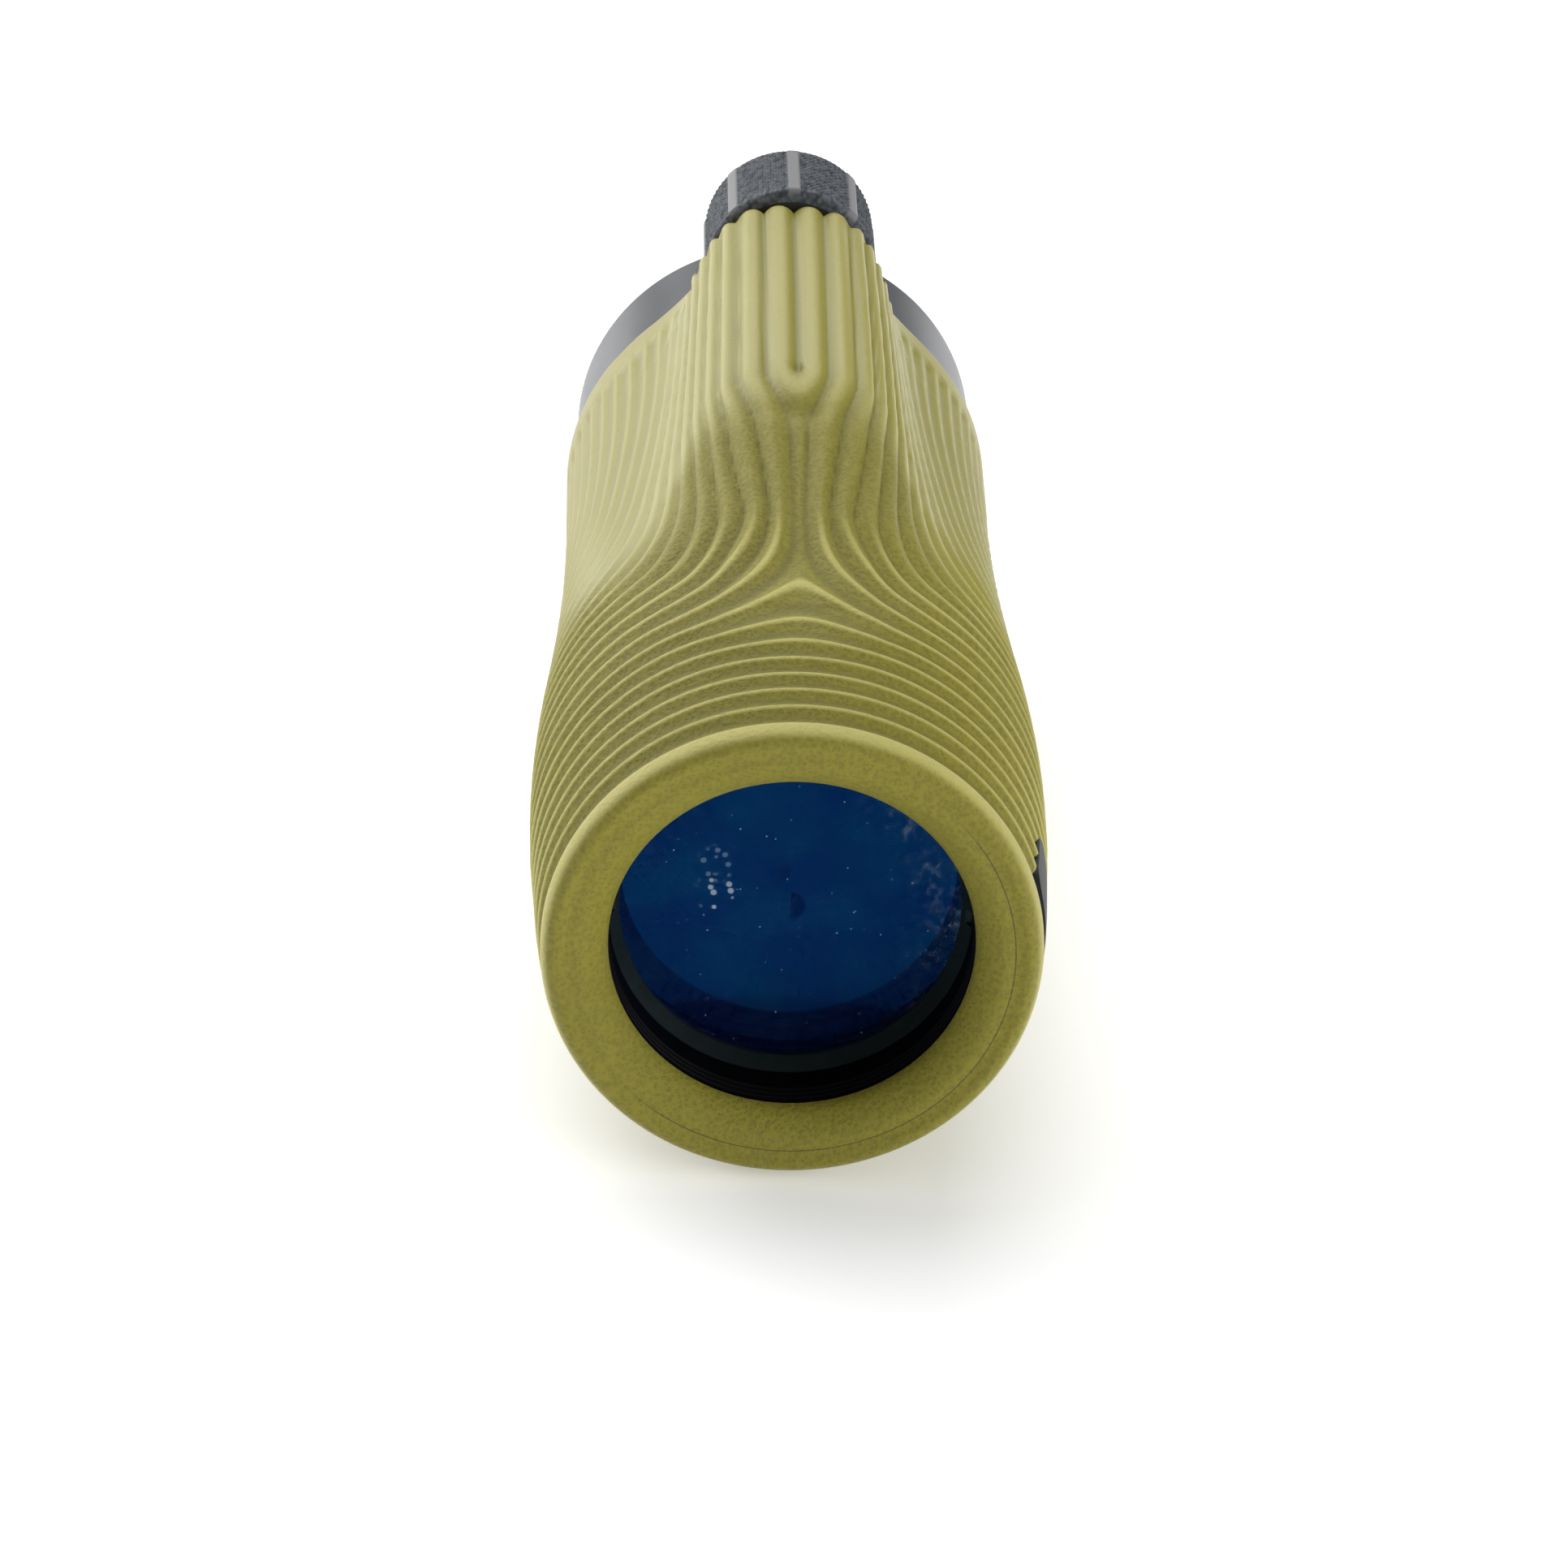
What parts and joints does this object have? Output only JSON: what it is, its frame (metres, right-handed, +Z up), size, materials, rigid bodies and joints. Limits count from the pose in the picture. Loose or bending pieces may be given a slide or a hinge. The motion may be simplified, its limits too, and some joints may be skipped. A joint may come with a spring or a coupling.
{
  "type": "monocular",
  "caption": "Compact roof-prism monocular in ribbed olive rubber armour, with a top focusing knob and a twist-up eyecup.",
  "frame": {"origin": "middle of the body's bounding box in plan, on the flat underside it stands on", "axes": "+Z up, the objective faces -Y, the eyecup faces +Y, +X is the right-hand side seen from the front with the knob on top"},
  "size_m": [0.048, 0.12, 0.0602],
  "materials": {
    "rubber_olive": "matte moulded rubber with a fine leather grain",
    "housing_black": "matte moulded plastic",
    "plate_dark": "satin inlay",
    "steel": "machined stainless steel",
    "brass": "turned brass",
    "black_metal": "matte black anodised",
    "ring_metal": "satin dark grey anodised",
    "coated_glass": "polished, blue multi-layer coating",
    "clear_glass": "polished, coated",
    "prism_glass": "polished, ground edges",
    "baffle_black": "flocked matte black",
    "seal_rubber": "smooth black elastomer",
    "cup_rubber": "matte black soft rubber",
    "cup_plastic": "matte black acetal",
    "knob_plastic": "matte black plastic",
    "knob_rubber": "matte black pebbled rubber with smooth ribs",
    "rod_steel": "ground stainless steel"
  },
  "bodies": {
    "body": {"main_housing": "housing_black", "bridge_cover": "housing_black", "cover_screws": "steel", "rubber_armour": "rubber_olive", "side_plate": "plate_dark", "tripod_insert": "brass", "strap_bar": "steel", "objective_shroud": "black_metal", "objective_retaining_ring": "ring_metal", "objective_front_lens": "coated_glass", "objective_rear_lens": "clear_glass", "objective_seal_ring": "seal_rubber", "guide_rods": "rod_steel", "light_baffle": "baffle_black", "half_penta_prism": "prism_glass", "roof_prism": "prism_glass", "prism_cage": "housing_black", "prism_clamp": "steel", "prism_pad": "seal_rubber", "eyepiece_barrel": "black_metal", "eyepiece_seal_ring": "seal_rubber", "field_stop": "black_metal", "field_lens": "clear_glass", "eyepiece_spacer": "black_metal", "eyepiece_flint_lens": "clear_glass", "eyepiece_crown_lens": "clear_glass", "eye_lens_spacer": "black_metal", "eye_lens": "clear_glass", "eyepiece_retaining_ring": "black_metal", "eyecup_cam_pins": "rod_steel", "shaft_seal_ring": "seal_rubber"},
    "focus_carriage": {"focusing_cell": "black_metal", "focusing_lens": "clear_glass", "focusing_lens_ring": "black_metal", "focus_drive_arm": "black_metal", "drive_arm_screws": "steel"},
    "focus_knob": {"focus_screw": "rod_steel", "shaft_circlip": "steel", "knob_hub": "knob_plastic", "knob_grip": "knob_rubber", "knob_screw": "steel", "knob_cap": "knob_plastic"},
    "eyecup_slider": {"eyecup_slip_ring": "cup_plastic"},
    "eyecup": {"eyecup_sleeve": "cup_plastic", "eyecup_rubber": "cup_rubber"}
  },
  "joints": [
    {"name": "knob_turn", "type": "hinge", "parent": "body", "child": "focus_knob", "pos_m": [0, 0.04, 0.0514], "axis": [0, 1, 0], "range_deg": [-30, 330]},
    {"name": "carriage_slide", "type": "slide", "parent": "body", "child": "focus_carriage", "axis": [0, 1, 0], "range_m": [-0.00042, 0.00458]},
    {"name": "eyecup_rise", "type": "slide", "parent": "body", "child": "eyecup_slider", "axis": [0, 1, 0], "range_m": [0, 0.006]},
    {"name": "eyecup_twist", "type": "hinge", "parent": "eyecup_slider", "child": "eyecup", "pos_m": [0, 0.053, 0.0234], "axis": [0, 1, 0], "range_deg": [0, 75]}
  ],
  "couplings": [
    {"joint": "knob_turn", "follows": "carriage_slide", "rad_per_m": 1256.6},
    {"joint": "eyecup_rise", "follows": "eyecup_twist", "m_per_rad": 0.0045837}
  ]
}
